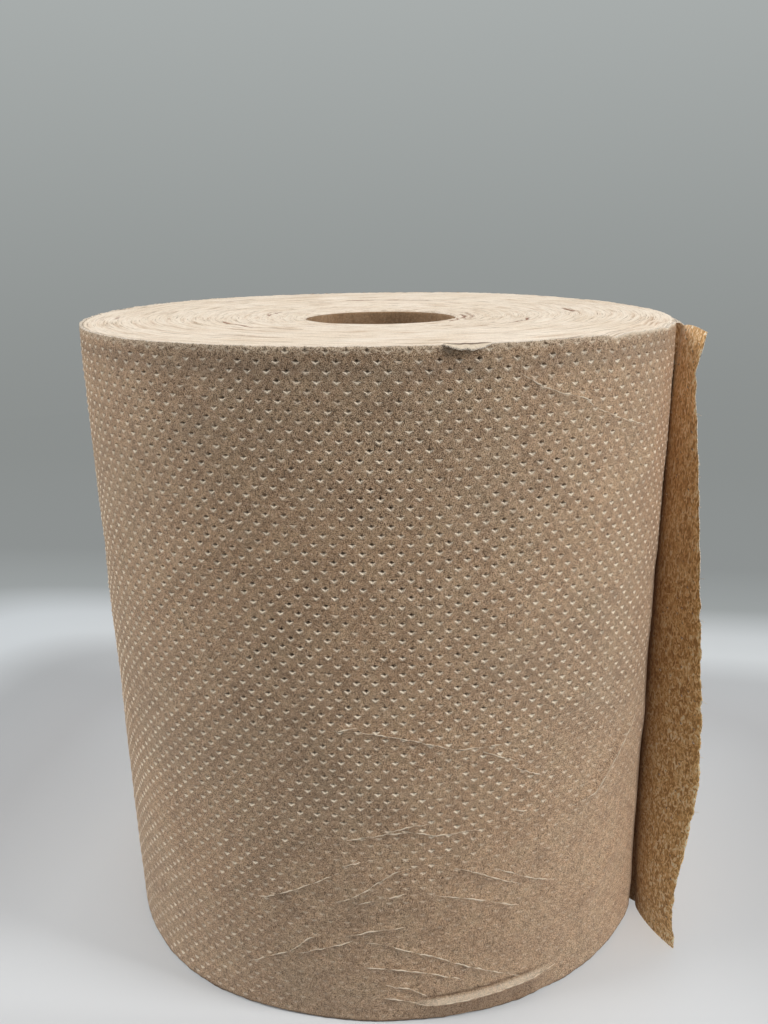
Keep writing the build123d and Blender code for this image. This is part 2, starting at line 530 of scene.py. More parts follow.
# The outer turn. It is one sheet of unbleached kraft paper, pressed all over with staggered dots by an
# embossing roll. Handling has creased it low on the front and buckled a pleat just above the floor. Its front
# and its back are made here, and Geometry Nodes press the dots in.
mm_per_degree = 1.658  # round the outside of the roll
dot_across = 4.997
dot_up = 4.864
dot_slant = -0.0069
dot_anchor = (-152.70, 163.05)
dot_depth = 0.68
dot_half_width = 1.05
dot_half_height = 0.70
front_start, front_end = -165.0, -20.5
back_start, back_end = 58.0, 195.0
back_tuck = 0.8  # how far the ends of the back reach under its neighbours, in degrees
fold_lines = [
    # (angle, height) points along each thin fold of the sheet, as degrees and millimetres
    [(-95.2, 99.7), (-91.7, 99.0), (-86.4, 96.9), (-82.6, 95.0), (-78.6, 92.6)],
    [(-74.2, 91.2), (-71.3, 89.0), (-67.8, 85.9)],
    [(-68.6, 84.4), (-65.0, 81.2), (-62.1, 78.9)],
    [(-78.4, 92.8), (-74.2, 92.8), (-70.5, 92.4)],
    [(-100.2, 63.2), (-96.5, 65.5), (-92.6, 66.6), (-89.0, 67.5), (-86.6, 67.7), (-82.6, 65.9), (-79.4, 65.9),
     (-74.0, 66.0)],
    [(-90.6, 67.4), (-87.4, 69.5), (-83.4, 69.7)],
    [(-116.5, 40.5), (-111.8, 43.1), (-107.3, 46.9), (-103.0, 50.7), (-99.2, 54.0)],
    [(-98.7, 56.1), (-97.1, 57.4), (-95.3, 57.8)],
    [(-100.7, 43.1), (-97.7, 45.1), (-94.8, 48.0), (-92.4, 51.2), (-89.1, 54.6), (-86.3, 55.3)],
    [(-96.1, 43.1), (-92.4, 45.5), (-87.6, 46.6)],
    [(-83.1, 45.5), (-78.5, 44.0), (-72.9, 40.8), (-66.5, 36.0)],
    [(-79.0, 54.1), (-75.2, 51.7), (-71.7, 48.4), (-66.2, 43.4)],
    [(-71.7, 51.3), (-68.6, 49.1), (-65.2, 45.4), (-58.0, 40.0)],
    [(-68.4, 70.1), (-65.2, 68.5)],
    [(-117.6, 16.2), (-112.6, 21.3), (-108.4, 24.7), (-105.6, 29.7), (-101.7, 32.7)],
    [(-100.1, 30.5), (-95.9, 32.7), (-92.6, 34.3), (-87.7, 34.8)],
    [(-107.8, 23.2), (-104.5, 25.9), (-101.0, 27.7), (-97.2, 29.8)],
    [(-95.1, 29.3), (-91.0, 28.5), (-86.9, 26.0), (-82.7, 23.6), (-77.6, 19.2), (-72.2, 14.8), (-65.5, 8.9)],
    [(-97.4, 20.7), (-92.8, 20.5), (-86.9, 19.0), (-82.7, 17.2), (-76.7, 13.0)],
    [(-91.6, 14.1), (-87.8, 13.0), (-85.3, 10.8), (-83.6, 8.4)],
    [(-92.9, 9.4), (-89.5, 9.1), (-85.3, 6.7)],
    [(-99.4, 99.8), (-95.1, 101.2)],
    [(-69.0, 195.6), (-65.5, 192.0), (-61.5, 189.5), (-56.9, 187.7), (-54.1, 184.4)],
    [(-54.1, 184.4), (-48.3, 180.4), (-38.7, 176.0)],
    [(-56.0, 64.3), (-49.9, 66.5), (-45.1, 73.5), (-39.3, 80.8), (-34.0, 83.4)],
    [(80.0, 22.0), (91.0, 27.0), (101.0, 31.0), (110.0, 30.5), (118.0, 29.0)],
    [(96.0, 46.0), (107.0, 41.5), (121.0, 43.0)],
    [(128.0, 176.0), (141.0, 165.0), (150.0, 162.0), (160.0, 161.0)],
    [(171.0, 118.0), (180.0, 112.0), (187.0, 110.0)],
]
wide_folds = [
    # the points of each soft fold, then its half width and how far it stands proud
    ([(-57.1, 64.1), (-49.9, 66.5), (-45.1, 73.5), (-39.3, 80.8), (-33.5, 83.6)], 2.4, 1.10),
    ([(-60.8, 151.5), (-52.5, 157.7), (-43.7, 161.5), (-30.9, 166.8)], 3.0, 0.75),
    ([(-59.8, 120.6), (-50.9, 129.0), (-38.0, 135.2), (-31.5, 138.5)], 3.2, 0.80),
    ([(-62.0, 96.0), (-50.0, 104.0), (-38.0, 112.0), (-32.5, 117.5)], 3.0, 0.75),
    ([(-55.0, 22.0), (-45.0, 33.0), (-34.0, 50.0)], 3.2, 0.85),
    ([(-138.0, 128.0), (-121.2, 146.0), (-109.4, 164.5)], 4.2, 0.40),
    ([(-150.0, 60.0), (-136.0, 84.0), (-124.0, 104.0)], 4.2, 0.40),
    ([(-128.7, 31.5), (-113.9, 54.5), (-100.3, 78.0)], 4.2, 0.40),
    ([(80.0, 24.0), (101.0, 33.0), (118.0, 31.0)], 4.0, 0.35),
    ([(128.0, 178.0), (141.0, 167.0), (160.0, 163.0)], 4.5, 0.35),
]
tail_crease = [
    # heights, and the angle where the sheet over this one peels off at each
    (0, 40, 80, 120, 140, 160, 178, 203),
    (-27.7, -28.2, -27.5, -26.3, -24.8, -22.3, -19.6, -19.0),
]
pleat_crest = [
    (-86.0, 6.3), (-83.4, 6.0), (-79.1, 6.1), (-76.2, 6.2), (-73.6, 6.5), (-68.6, 6.9), (-64.6, 7.3),
    (-60.4, 7.5), (-57.6, 8.0),
]
pleat_proud, pleat_rise, pleat_fall = 1.2, 2.1, 5.2
fold_half_width, fold_proud = 1.2, 0.40
dot_unevenness = 0.45
rim_zone = 178.0  # the height above which the sheet follows the slipped rim
floor_gap = 0.50  # how far its lower edge stands off the floor
tuck_depth = 0.3  # how far its ends sink under their neighbours


def route_lengths(route):
    """The length of each run of a route of (angle, height) points, and the length passed at each point."""
    runs = np.hypot(np.diff(route[:, 0]) * mm_per_degree, np.diff(route[:, 1]))
    return runs, np.concatenate([[0.0], np.cumsum(runs)])


def folded(degrees, rise, line, half_width, proud, ends=0.25):
    """A ridge along a line of (angle, height) points, which dies away at its ends."""
    route = np.array(line)
    runs, passed = route_lengths(route)
    nearest = np.full(degrees.shape, 1e9)
    place = np.zeros(degrees.shape)
    across = wrapped(degrees - route[0, 0]) * mm_per_degree
    for k, run in enumerate(runs):
        x0, x1 = (wrapped(route[k:k + 2, 0] - route[0, 0])) * mm_per_degree
        y0, y1 = route[k:k + 2, 1]
        share = np.clip(((across - x0) * (x1 - x0) + (rise - y0) * (y1 - y0)) / run ** 2, 0, 1)
        distance = np.hypot(across - x0 - share * (x1 - x0), rise - y0 - share * (y1 - y0))
        closer = distance < nearest
        nearest[closer] = distance[closer]
        place[closer] = passed[k] + share[closer] * run
    place /= passed[-1]
    fading = smooth_step(np.minimum(place, 1 - place) / ends)
    return proud * fading * np.exp(-(nearest / half_width) ** 2)


def slack(degrees, rise, seed, size, waves=22):
    """Slow bulges of the sheet over the turns beneath it, which meet up all round the roll."""
    rng = np.random.default_rng(seed)
    total = np.zeros(degrees.shape)
    for _ in range(waves):
        round_roll = rng.integers(1, max(2, int(600 / size)))
        length = np.exp(rng.uniform(math.log(size), math.log(4 * size)))
        lean = rng.choice((-1, 1))
        phase = rng.uniform(0, 2 * np.pi)
        total += np.sin(np.radians(degrees) * round_roll + lean * 2 * np.pi * rise / length + phase)
    return total / math.sqrt(waves)


def above_pleat(degrees, rise):
    """Height above the pleat's crest, and how much of the pleat there is at that angle."""
    crest = np.interp(wrapped(degrees), *np.transpose(pleat_crest))
    return rise - crest, between(degrees, -87.5, 6.0, -56.5, 9.0)


def pleated(degrees, rise):
    """The pleat stands off as a short slope above its crest and a longer one, sinking to the floor, below."""
    above, present = above_pleat(degrees, rise)
    upper_slope = smooth_step(1 - above / pleat_rise)
    lower_slope = 0.25 + 0.75 * smooth_step(1 + above / pleat_fall)
    return pleat_proud * present * np.where(above > 0, upper_slope, lower_slope)


def stand_off(degrees, rise):
    """How far the outer turn stands off the wound turns, apart from its dots."""
    off = 0.16 * slack(degrees, rise, 21, 30.0) + 0.05 * slack(degrees, rise, 22, 9.0)
    for line in fold_lines:
        off += folded(degrees, rise, line, fold_half_width, fold_proud)
    for line, half_width, proud in wide_folds:
        off += folded(degrees, rise, line, half_width, proud)
    return off + pleated(degrees, rise)


no_dots = -1e6


def lines_through_dots(first, last, half_pitch, near, anchor, margin=0.45):
    """Grid lines from one edge of a sheet to the other: one through each row of dots, and others near it.
    Each line through dots also has its number, and the others have no_dots."""
    places, numbers = [first], [no_dots]
    halfway = () if half_pitch - 2 * near < 1.0 else (half_pitch / 2,)
    steps = (0.0, near, *halfway, half_pitch - near)
    first_number, last_number = (math.ceil((end - anchor) / half_pitch) for end in (first, last))
    for number in range(first_number - 1, last_number + 1):
        for k, step in enumerate(steps):
            position = anchor + number * half_pitch + step
            if first + margin < position < last - margin:
                places.append(position)
                numbers.append(number if k == 0 else no_dots)
    return np.array(places + [last]), np.array(numbers + [no_dots])


def dot_grid(first, last, top):
    """The grid of one sheet: places along and up it, where its dots are, and which way each cell is cut."""
    alongs, columns = lines_through_dots(first, last, dot_across / 2, dot_half_width, dot_anchor[0])
    rises, rows = lines_through_dots(0.0, top, dot_up / 2, dot_half_height, dot_anchor[1])
    crossing = (columns[:, None] != no_dots) & (rows[None, :] != no_dots)
    middle = crossing & ((columns[:, None] + rows[None, :]) % 2 == 0)
    across = ((alongs[1:] + alongs[:-1]) / 2 - dot_anchor[0]) / (dot_across / 2)
    up = ((rises[1:] + rises[:-1]) / 2 - dot_anchor[1]) / (dot_up / 2)
    left = (across[:, None] - np.round(across)[:, None]) * np.ones((1, len(up)))
    below = (up[None, :] - np.round(up)[None, :]) * np.ones((len(across), 1))
    odd = (np.round(across)[:, None] + np.round(up)[None, :]) % 2 == 1
    aside = odd & (np.abs(left) > np.abs(below))
    over = odd & ~aside
    left = np.where(aside, left - np.sign(left), left)
    below = np.where(over, below - np.sign(below), below)
    return alongs, rises, middle, left * below > 0


def sheet_solid(outer, inner, fine_columns, turned):
    """A closed thin sheet between an outer and an inner grid of points. The inner side keeps all its rows in
    the first columns, and elsewhere, where nothing sees it, it has only its top and bottom rows. Also gives
    the number of each triangle's side: 0 outer, 1 inner, 2 cut edge, 3 end tucked under the next sheet."""
    columns, rows = outer.shape[:2]
    front = np.arange(columns * rows).reshape(columns, rows)
    a, b, c, d = front[:-1, :-1], front[1:, :-1], front[1:, 1:], front[:-1, 1:]
    pick = turned[..., None]
    first = np.where(pick, np.stack([a, b, d], 2), np.stack([a, b, c], 2))
    second = np.where(pick, np.stack([b, c, d], 2), np.stack([a, c, d], 2))
    sides = [np.stack([first, second], 2).reshape(-1, 3)]
    points = [outer.reshape(-1, 3)]
    fine = fine_columns * rows
    back = [list(range((columns + k) * rows, (columns + k + 1) * rows)) for k in range(fine_columns)]
    points.append(inner[:fine_columns].reshape(-1, 3))
    coarse = columns * rows + fine
    back += [[coarse + 2 * k, coarse + 2 * k + 1] for k in range(columns - fine_columns)]
    points.append(inner[fine_columns:, [0, -1]].reshape(-1, 3))
    behind, edges, tucked = [], [], []
    half = rows // 2
    for near, far in zip(back[:-1], back[1:]):
        if len(near) == len(far):
            for k in range(len(near) - 1):
                behind += [(near[k], far[k + 1], far[k]), (near[k], near[k + 1], far[k + 1])]
        else:
            behind += [(near[k], near[k + 1], far[0] if k < half else far[1]) for k in range(rows - 1)]
            behind.append((near[half], far[1], far[0]))
    for k in range(columns - 1):
        low, high = front[k, 0], front[k, -1]
        next_low, next_high = front[k + 1, 0], front[k + 1, -1]
        edges += [(high, next_high, back[k + 1][-1]), (high, back[k + 1][-1], back[k][-1])]
        edges += [(low, back[k + 1][0], next_low), (low, back[k][0], back[k + 1][0])]
    for column, ends, way in ((0, back[0], 1), (columns - 1, back[-1], -1)):
        line = front[column]
        for k in range(rows - 1):
            if len(ends) > 2:
                edges += [(line[k], line[k + 1], ends[k + 1])[::way], (line[k], ends[k + 1], ends[k])[::way]]
            else:
                tucked.append((line[k], line[k + 1], ends[0] if k < half else ends[1])[::way])
        if len(ends) == 2:
            tucked.append((line[half], ends[1], ends[0])[::way])
    sides += [np.array(behind), np.array(edges), np.array(tucked, int).reshape(-1, 3)]
    kinds = np.repeat([0, 1, 2, 3], [len(side) for side in sides])
    return np.concatenate(points), np.concatenate(sides), kinds


def geometry_tree(name, inputs):
    """An empty Geometry Nodes tree with a geometry input, named inputs, and a geometry output."""
    made = bpy.data.node_groups.new(name, "GeometryNodeTree")
    made.interface.new_socket("Geometry", in_out="INPUT", socket_type="NodeSocketGeometry")
    made.interface.new_socket("Geometry", in_out="OUTPUT", socket_type="NodeSocketGeometry")
    for socket, kind in inputs:
        made.interface.new_socket(socket, in_out="INPUT", socket_type=kind)
    return made, add_node(made, "NodeGroupInput").outputs


def finished(tree, geometry, material):
    real = add_node(tree, "GeometryNodeRealizeInstances", {0: geometry}).outputs[0]
    dressed = add_node(tree, "GeometryNodeSetMaterial", {"Geometry": real, "Material": material}).outputs[0]
    add_node(tree, "NodeGroupOutput", {0: dressed})


def applied(name, mesh, tree, settings):
    """Runs a Geometry Nodes tree on a mesh and keeps the result as a plain mesh."""
    rough = put_in_scene(name + "_rough", mesh)
    modifier = rough.modifiers.new(tree.name, "NODES")
    modifier.node_group = tree
    for socket in tree.interface.items_tree:
        if socket.in_out == "INPUT" and socket.name in settings:
            modifier[socket.identifier] = settings[socket.name]
    result = bpy.data.meshes.new_from_object(rough.evaluated_get(bpy.context.evaluated_depsgraph_get()))
    result.name = name
    bpy.data.objects.remove(rough)
    return result


kraft_material, tree = new_material("embossed_kraft_paper")
marks = flecks(tree, 0.27, 1.5, 5.0)
patches = object_noise(tree, 130.0, 4.0, 0.6)
wide_patches = object_noise(tree, 14.0, 2.0, 0.5)
kraft_tone = ramp(tree, patches, [
    (0.30, (0.405, 0.259, 0.152)), (0.44, (0.465, 0.298, 0.177)), (0.55, (0.494, 0.329, 0.199)),
    (0.72, (0.471, 0.319, 0.190)),
])
wide_tone = ramp(tree, wide_patches, [(0.34, (0.91, 0.92, 0.93)), (0.66, (1.07, 1.04, 1.01))])
kraft_tone = multiplied(tree, kraft_tone, wide_tone)
small_patches = object_noise(tree, 330.0, 2.0, 0.5)
small_tone = ramp(tree, small_patches, [(0.30, (0.87, 0.87, 0.87)), (0.70, (1.12, 1.12, 1.12))])
kraft_tone = multiplied(tree, kraft_tone, small_tone)
grey_tone = greyed(tree, maths(tree, "MINIMUM", marks["Tone"], 1.15))
kraft_tone = multiplied(tree, kraft_tone, grey_tone)
pale_flecks = maths(tree, "MULTIPLY", maths(tree, "SUBTRACT", marks["Tone"], 1.1), 0.50, clamp=True)
kraft_tone = mixed(tree, pale_flecks, kraft_tone, (0.88, 0.72, 0.575))
kraft_tone = mixed(tree, maths(tree, "MULTIPLY", marks["Fibres"], 0.16), kraft_tone, (0.60, 0.50, 0.385))
# Painted light on the dots: each dot's raised lower lip and lower facets get a painted highlight, and its pit
# gets painted shade. The lip attribute adds more pale paint, partly wear and partly highlight.
pressed = kept_value(tree, "dot")
pale_highlight_and_wear = maths(tree, "MULTIPLY", pressed, -1.6, clamp=True)
lip_wear_and_highlight = maths(tree, "MAXIMUM", kept_value(tree, "lip"), kept_value(tree, "dot_lip_highlight"))
pale_highlight_and_wear = maths(tree, "MAXIMUM", pale_highlight_and_wear, lip_wear_and_highlight)
pit_shade = maths(tree, "MULTIPLY", maths(tree, "SUBTRACT", pressed, 0.12), 1.3, clamp=True)
kraft_tone = mixed(tree, pale_highlight_and_wear, kraft_tone, (0.93, 0.81, 0.645))
kraft_tone = mixed(tree, pit_shade, kraft_tone, (0.135, 0.085, 0.053))
place = on_piece(tree)
smudge_place = (-0.0489, -0.0814, 0.181)
from_smudge = add_node(tree, "ShaderNodeVectorMath", {0: place, 1: smudge_place}, operation="DISTANCE")
smudge_edge = maths(tree, "MULTIPLY", object_noise(tree, 160.0), 0.016)
from_smudge = maths(tree, "ADD", from_smudge.outputs[1], smudge_edge)
smudge = maths(tree, "MULTIPLY", maths(tree, "SUBTRACT", 0.0185, from_smudge), 70.0, clamp=True)
kraft_tone = mixed(tree, maths(tree, "MULTIPLY", smudge, 0.30), kraft_tone, (0.13, 0.11, 0.09))
height = add_node(tree, "ShaderNodeSeparateXYZ", {0: place}).outputs["Z"]
roughness = maths(tree, "MULTIPLY", maths(tree, "SUBTRACT", marks["Tone"], 1.0), 0.0016)
rough_height = maths(tree, "ADD", height, roughness)
# Painted shade: a slightly darker band just under the rim.
shade_under_rim = ramp(tree, maths(tree, "MULTIPLY", maths(tree, "SUBTRACT", rough_height, 0.194), 111.0), [
    (0.0, (1.0, 1.0, 1.0)), (0.45, (0.84, 0.85, 0.87)), (0.80, (0.90, 0.89, 0.88)), (0.88, (1.0, 1.0, 1.0)),
])
kraft_tone = multiplied(tree, kraft_tone, shade_under_rim)
fuzz = maths(tree, "MULTIPLY", maths(tree, "SUBTRACT", rough_height, 0.2015), 600.0, clamp=True)
kraft_tone = mixed(tree, maths(tree, "MULTIPLY", fuzz, 0.75), kraft_tone, (0.70, 0.575, 0.435))
brushed = object_noise(tree, 900.0, 1.5, 0.5, (1.0, 1.0, 0.55), 1.4)
# The tail's inner side has light painted into it: a warm orange for light shining through the thin paper,
# painted shade towards its root, lighter towards the torn edge, and, by height, darker in the middle with a
# bluish painted highlight at the top corner.
inner_tone_and_light = ramp(tree, brushed, [
    (0.34, (0.44, 0.225, 0.080)), (0.46, (0.68, 0.380, 0.145)), (0.54, (0.88, 0.550, 0.250)),
    (0.62, (0.98, 0.72, 0.42)), (0.70, (1.0, 0.82, 0.58)),
])
inner_tone_and_light = multiplied(tree, inner_tone_and_light, ramp(tree, kept_value(tree, "off_root"), [
    (0.0, (0.36, 0.31, 0.26)), (0.12, (0.56, 0.52, 0.47)), (0.35, (0.86, 0.85, 0.82)),
    (0.60, (1.00, 0.99, 0.97)), (0.90, (1.08, 1.06, 1.02)), (1.0, (1.30, 1.32, 1.28)),
]))
drift = maths(tree, "MULTIPLY", maths(tree, "SUBTRACT", object_noise(tree, 40.0), 0.5), 0.10)
up_tail = maths(tree, "DIVIDE", maths(tree, "ADD", height, drift), 0.21)
inner_tone_and_light = multiplied(tree, inner_tone_and_light, ramp(tree, up_tail, [
    (0.05, (0.90, 0.96, 1.02)), (0.35, (0.86, 0.87, 0.86)), (0.50, (0.76, 0.72, 0.64)),
    (0.80, (0.82, 0.82, 0.82)), (0.90, (0.98, 1.04, 1.16)), (0.96, (1.36, 1.56, 2.10)),
]))
inner_tone_and_light = mixed(tree, 0.30, inner_tone_and_light, grey_tone, "MULTIPLY")
kraft_tone = mixed(tree, kept_value(tree, "inner_side"), kraft_tone, inner_tone_and_light)
# Painted shade: in the groove beside the tail's root, and, darker, along and under the pleat, along the foot at
# the floor and at the blister's root.
kraft_tone = mixed(tree, kept_value(tree, "behind_tail"), kraft_tone, (0.16, 0.085, 0.042))
kraft_tone = mixed(tree, kept_value(tree, "crease"), kraft_tone, (0.085, 0.040, 0.016))
grain = add_node(tree, "ShaderNodeGroup", {"Lines": 0.2}, node_tree=end_grain)
edge_tone = multiplied(tree, grain.outputs["Colour"], grey_tone)
kraft_tone = mixed(tree, kept_value(tree, "cut_edge"), kraft_tone, edge_tone)
sheen = {"Sheen Weight": 0.12, "Sheen Roughness": 0.6}
finish_paper(tree, kraft_tone, 0.94, 0.12, marks["Tone"], 0.75, 0.00012, sheen)


def named_attribute(tree, name, kind="FLOAT"):
    return add_node(tree, "GeometryNodeInputNamedAttribute", {"Name": name}, data_type=kind).outputs[0]


press_dots, given = geometry_tree("press_dots", [
    ("Depth", "NodeSocketFloat"), ("Unevenness", "NodeSocketFloat"),
])
dot = named_attribute(press_dots, "dot")
way_out = named_attribute(press_dots, "way_out", "FLOAT_VECTOR")
fewest = maths(press_dots, "SUBTRACT", 1.0, given["Unevenness"])
uneven = add_node(press_dots, "FunctionNodeRandomValue", {"Seed": 4}, data_type="FLOAT")
press_dots.links.new(fewest, uneven.inputs[2])
press_dots.links.new(maths(press_dots, "ADD", 1.0, given["Unevenness"]), uneven.inputs[3])
depth = maths(press_dots, "MULTIPLY", maths(press_dots, "MULTIPLY", dot, uneven.outputs[1]), given["Depth"])
push = add_node(press_dots, "ShaderNodeVectorMath", {
    0: way_out, "Scale": maths(press_dots, "MULTIPLY", depth, -1.0),
}, operation="SCALE").outputs[0]
moved = add_node(press_dots, "GeometryNodeSetPosition", {"Geometry": given["Geometry"], "Offset": push})
finished(press_dots, moved.outputs[0], kraft_material)


def add_sheet(name, outer, inner, way_out, dots, turned, fine_columns=0, inner_depth=0.0, **shades):
    """One sheet of the outer turn, closed all round, with its dots pressed in by Geometry Nodes. Each shade
    is an attribute of the material, given as a grid."""
    points, triangles, kinds = sheet_solid(outer, inner, fine_columns, turned)
    columns, rows = outer.shape[:2]
    mesh = bpy.data.meshes.new(name + "_plain")
    mesh.from_pydata((points * MM).tolist(), [], triangles.tolist())
    fine = fine_columns * rows
    coarse = len(points) - columns * rows - fine
    inner_dots = dots[:fine_columns].ravel() * inner_depth
    store(mesh, "dot", np.concatenate([dots.ravel(), inner_dots, np.zeros(coarse)]))
    pointing = np.zeros((len(points), 3))
    pointing[:columns * rows] = way_out.reshape(-1, 3)
    pointing[columns * rows:columns * rows + fine] = way_out[:fine_columns].reshape(-1, 3)
    store(mesh, "way_out", pointing)
    for shade, grid in shades.items():
        store(mesh, shade, np.concatenate([grid.ravel(), grid[:fine_columns].ravel(), np.zeros(coarse)]))
    store(mesh, "inner_side", (kinds == 1).astype(float), "FACE")
    store(mesh, "cut_edge", (kinds == 2).astype(float), "FACE")
    # The lower facets of each dot get a painted highlight of random brightness.
    centres = np.where(dots.ravel() > 0.05, dots.ravel(), 0.0)
    centres = np.append(centres, np.zeros(len(points) - len(centres)))[triangles]
    in_dot = (centres.max(1) > 0) & (kinds == 0)
    heights = points[triangles, 2]
    centre_heights = np.take_along_axis(heights, centres.argmax(1)[:, None], 1)[:, 0]
    below = in_dot & (heights.mean(1) < centre_heights)
    rng = np.random.default_rng(35)
    brightness = rng.uniform(0.75, 1.8, len(dots.ravel()))[np.minimum(triangles, len(dots.ravel()) - 1)]
    brightness = np.take_along_axis(brightness, centres.argmax(1)[:, None], 1)[:, 0]
    store(mesh, "dot_lip_highlight", np.where(below, np.clip(centres.max(1) * brightness, 0, 1), 0.0), "FACE")
    mesh.polygons.foreach_set("use_smooth", (kinds < 2) & ~in_dot)
    made = applied(name, mesh, press_dots, {"Depth": dot_depth * MM, "Unevenness": dot_unevenness})
    made.attributes.remove(made.attributes["way_out"])
    return add_made(name, made, "paper_web")


def dot_strengths(middle, degrees, rise, top):
    """How hard each dot is pressed. The sheet is raised just below a dot and beside it."""
    rng = np.random.default_rng(31)
    strength = rng.uniform(0.70, 1.15, middle.shape) * (0.88 + 0.2 * slack(degrees, rise, 32, 26.0))
    # The dots are fainter beside the tail, at the lower right, low down, and just under the rim.
    strength *= 1 - 0.42 * between(degrees, -66, 34, -10, 20)
    strength *= 1 - 0.40 * between(degrees, -80, 24, -18, 8) * smooth_step((125.0 - rise) / 45.0)
    faint = 0.48 - 0.34 * between(degrees, -125, 25, -25, 20)
    strength *= faint + (1 - faint) * smooth_step((rise - 28.0) / 85.0)
    strength *= 1 - 0.45 * smooth_step((rise - top + 3.0) / 2.0)
    strength *= (rise > 1.3) & (rise < top - 0.8)
    pressed = np.where(middle, np.clip(strength, 0.12, 1.3), 0.0)
    dots = pressed.copy()
    dots[:, :-1] -= 0.36 * pressed[:, 1:]
    dots[1:] -= 0.10 * pressed[:-1]
    dots[:-1] -= 0.10 * pressed[1:]
    return dots


def slanted(along, rise, top):
    """Rows of dots climb a little round the roll, except at its ends."""
    inside = smooth_step(rise / 14.0) * smooth_step((top - rise) / 14.0)
    return rise + dot_slant * (along - dot_anchor[0]) * inside


def add_wrapped_sheet(name, first, last, tuck=1e-3):
    """The outer turn from one angle to another. Each end sinks under its neighbour over tuck degrees."""
    alongs, rises, middle, turned = dot_grid(first * mm_per_degree, last * mm_per_degree, roll_height)
    along, rise = np.meshgrid(alongs, rises, indexing="ij")
    degrees = along / mm_per_degree
    angle = np.radians(degrees)
    rise = slanted(along, rise, roll_height)
    near_rim = smooth_step((rise - rim_zone) / (roll_height - rim_zone))
    height = rise - near_rim * (rim_drop(angle) + 0.10 * unsteady(along, 33, 1.2, 3.5))
    height[:, 0] += floor_gap + 0.25 * unsteady(along[:, 0], 34, 3.0, 60.0)
    radius = packed_radius(angle) + stand_off(degrees, rise)
    ends = (smooth_step(1 - (degrees - first) / tuck), smooth_step(1 - (last - degrees) / tuck))
    radius -= tuck_depth * ends[0] + tuck_depth * ends[1]
    outer = round_axis(radius, angle, height)
    way_out = round_axis(1.0, angle, np.zeros_like(angle))
    dots = dot_strengths(middle, degrees, rise, roll_height)
    above, present = above_pleat(degrees, rise)
    dots *= 1 - present * ((above > -6) & (above < 3))
    # It is painted pale along the pleat, as a highlight on its upper slope, and at the rim, partly as wear and
    # partly as a highlight. It is painted dark as shade in a line above the pleat, under the pleat, at the
    # floor and in the groove behind the tail, where it also lies deeper so that the tail's root covers it.
    pale_wear_and_highlight = 0.50 * present * smooth_step((above + 0.35) / 0.5) * smooth_step((2.0 - above) / 1.0)
    top_degrees = wrapped(degrees[:, -1])
    pale_wear_and_highlight[:, -1] = 0.85 * smooth_step((top_degrees + 56) / 8) * (top_degrees < 0)
    crease = 0.75 * present * np.exp(-((above - 2.5) / 0.45) ** 2) + 0.35 * present * (above < -0.3)
    floor_shade = 0.85 * (rises[None, :] < 0.3) + 0.35 * (np.abs(rises[None, :] - 0.6) < 0.3)
    crease = np.maximum(crease, floor_shade)
    beside_tail = np.interp(rise, *tail_crease) - degrees
    behind_tail = 0.80 * smooth_step((2.9 - beside_tail) / 2.5) * (degrees < 0)
    sunk_behind = 0.7 * smooth_step((0.6 - beside_tail) / 1.8) * (degrees < 0)
    outer -= sunk_behind[..., None] * way_out
    inner = round_axis(packed_radius(angle) - skin_thickness, angle, height)
    add_sheet(name, outer, inner, way_out, dots, turned, lip=pale_wear_and_highlight, crease=crease, behind_tail=behind_tail)


add_wrapped_sheet("outer_turn_front", front_start, front_end)
add_wrapped_sheet("outer_turn_back", back_start - back_tuck, back_end + back_tuck, back_tuck)

# The blister in the rim. Handling has pulled a short stretch of the outer turn's upper edge outwards. It is the
# same kraft paper, all one with the outer turn. Its lip, which shows from above, is painted pale as a
# highlight, and its root is painted dark as the shade in the gap behind it.
blister_middle, blister_half_width = -77.3, 3.7
blister_proud, blister_fall, blister_thickness = 2.1, 1.15, 0.3
blister_root = 0.35  # how far its foot is sunk in the outer turn
share, across = np.meshgrid(np.linspace(-1, 1, 45), np.linspace(1, 0, 9), indexing="ij")
bulge = np.maximum(1 - share ** 2, 0) ** 0.8 * (1 + 0.10 * unsteady(share, 45, 0.2, 0.9))
degrees = blister_middle + blister_half_width * share
angle = np.radians(degrees)
radius = packed_radius(angle) + stand_off(degrees, roll_height) - blister_root
radius += (blister_root + blister_proud * bulge) * across
rise = roll_height - rim_drop(angle) + 0.30 - blister_fall * bulge * across ** 2
outer = round_axis(radius, angle, rise)
straight_up = np.zeros_like(outer)
straight_up[..., 2] = 1.0
inner = outer - straight_up * blister_thickness
plain = np.zeros(share.shape)
# Painted highlight on the lip, painted shade at the root.
add_sheet("rim_blister", outer, inner, straight_up, plain, plain[1:, 1:] > 0, len(share),
          lip=np.where(across > 0.4, 1.0, 0.0), crease=0.75 * (across < 0.4))

# The fold crests. Along each thin fold the outer turn's paper is pinched to a narrow ridge, painted paler than
# the sheet: partly rubbed wear, partly painted highlight. Geometry Nodes sweep a small round section along each
# fold, and it fades at the fold's ends.
crest_radius = 0.18
crisp_folds, given = geometry_tree("crisp_folds", [
    ("Ridge Radius", "NodeSocketFloat"), ("Sides", "NodeSocketInt"),
])
routes = add_node(crisp_folds, "GeometryNodeMeshToCurve", {"Mesh": given["Geometry"]}).outputs[0]
place = add_node(crisp_folds, "GeometryNodeSplineParameter").outputs["Factor"]
to_end = maths(crisp_folds, "MINIMUM", place, maths(crisp_folds, "SUBTRACT", 1.0, place))
taper = maths(crisp_folds, "POWER", maths(crisp_folds, "MULTIPLY", to_end, 4.0, clamp=True), 0.5)
tapered = maths(crisp_folds, "MULTIPLY", taper, named_attribute(crisp_folds, "sharpness"))
ridge_radius = maths(crisp_folds, "MULTIPLY", tapered, given["Ridge Radius"])
ridge_radius = maths(crisp_folds, "MAXIMUM", ridge_radius, 0.00002)
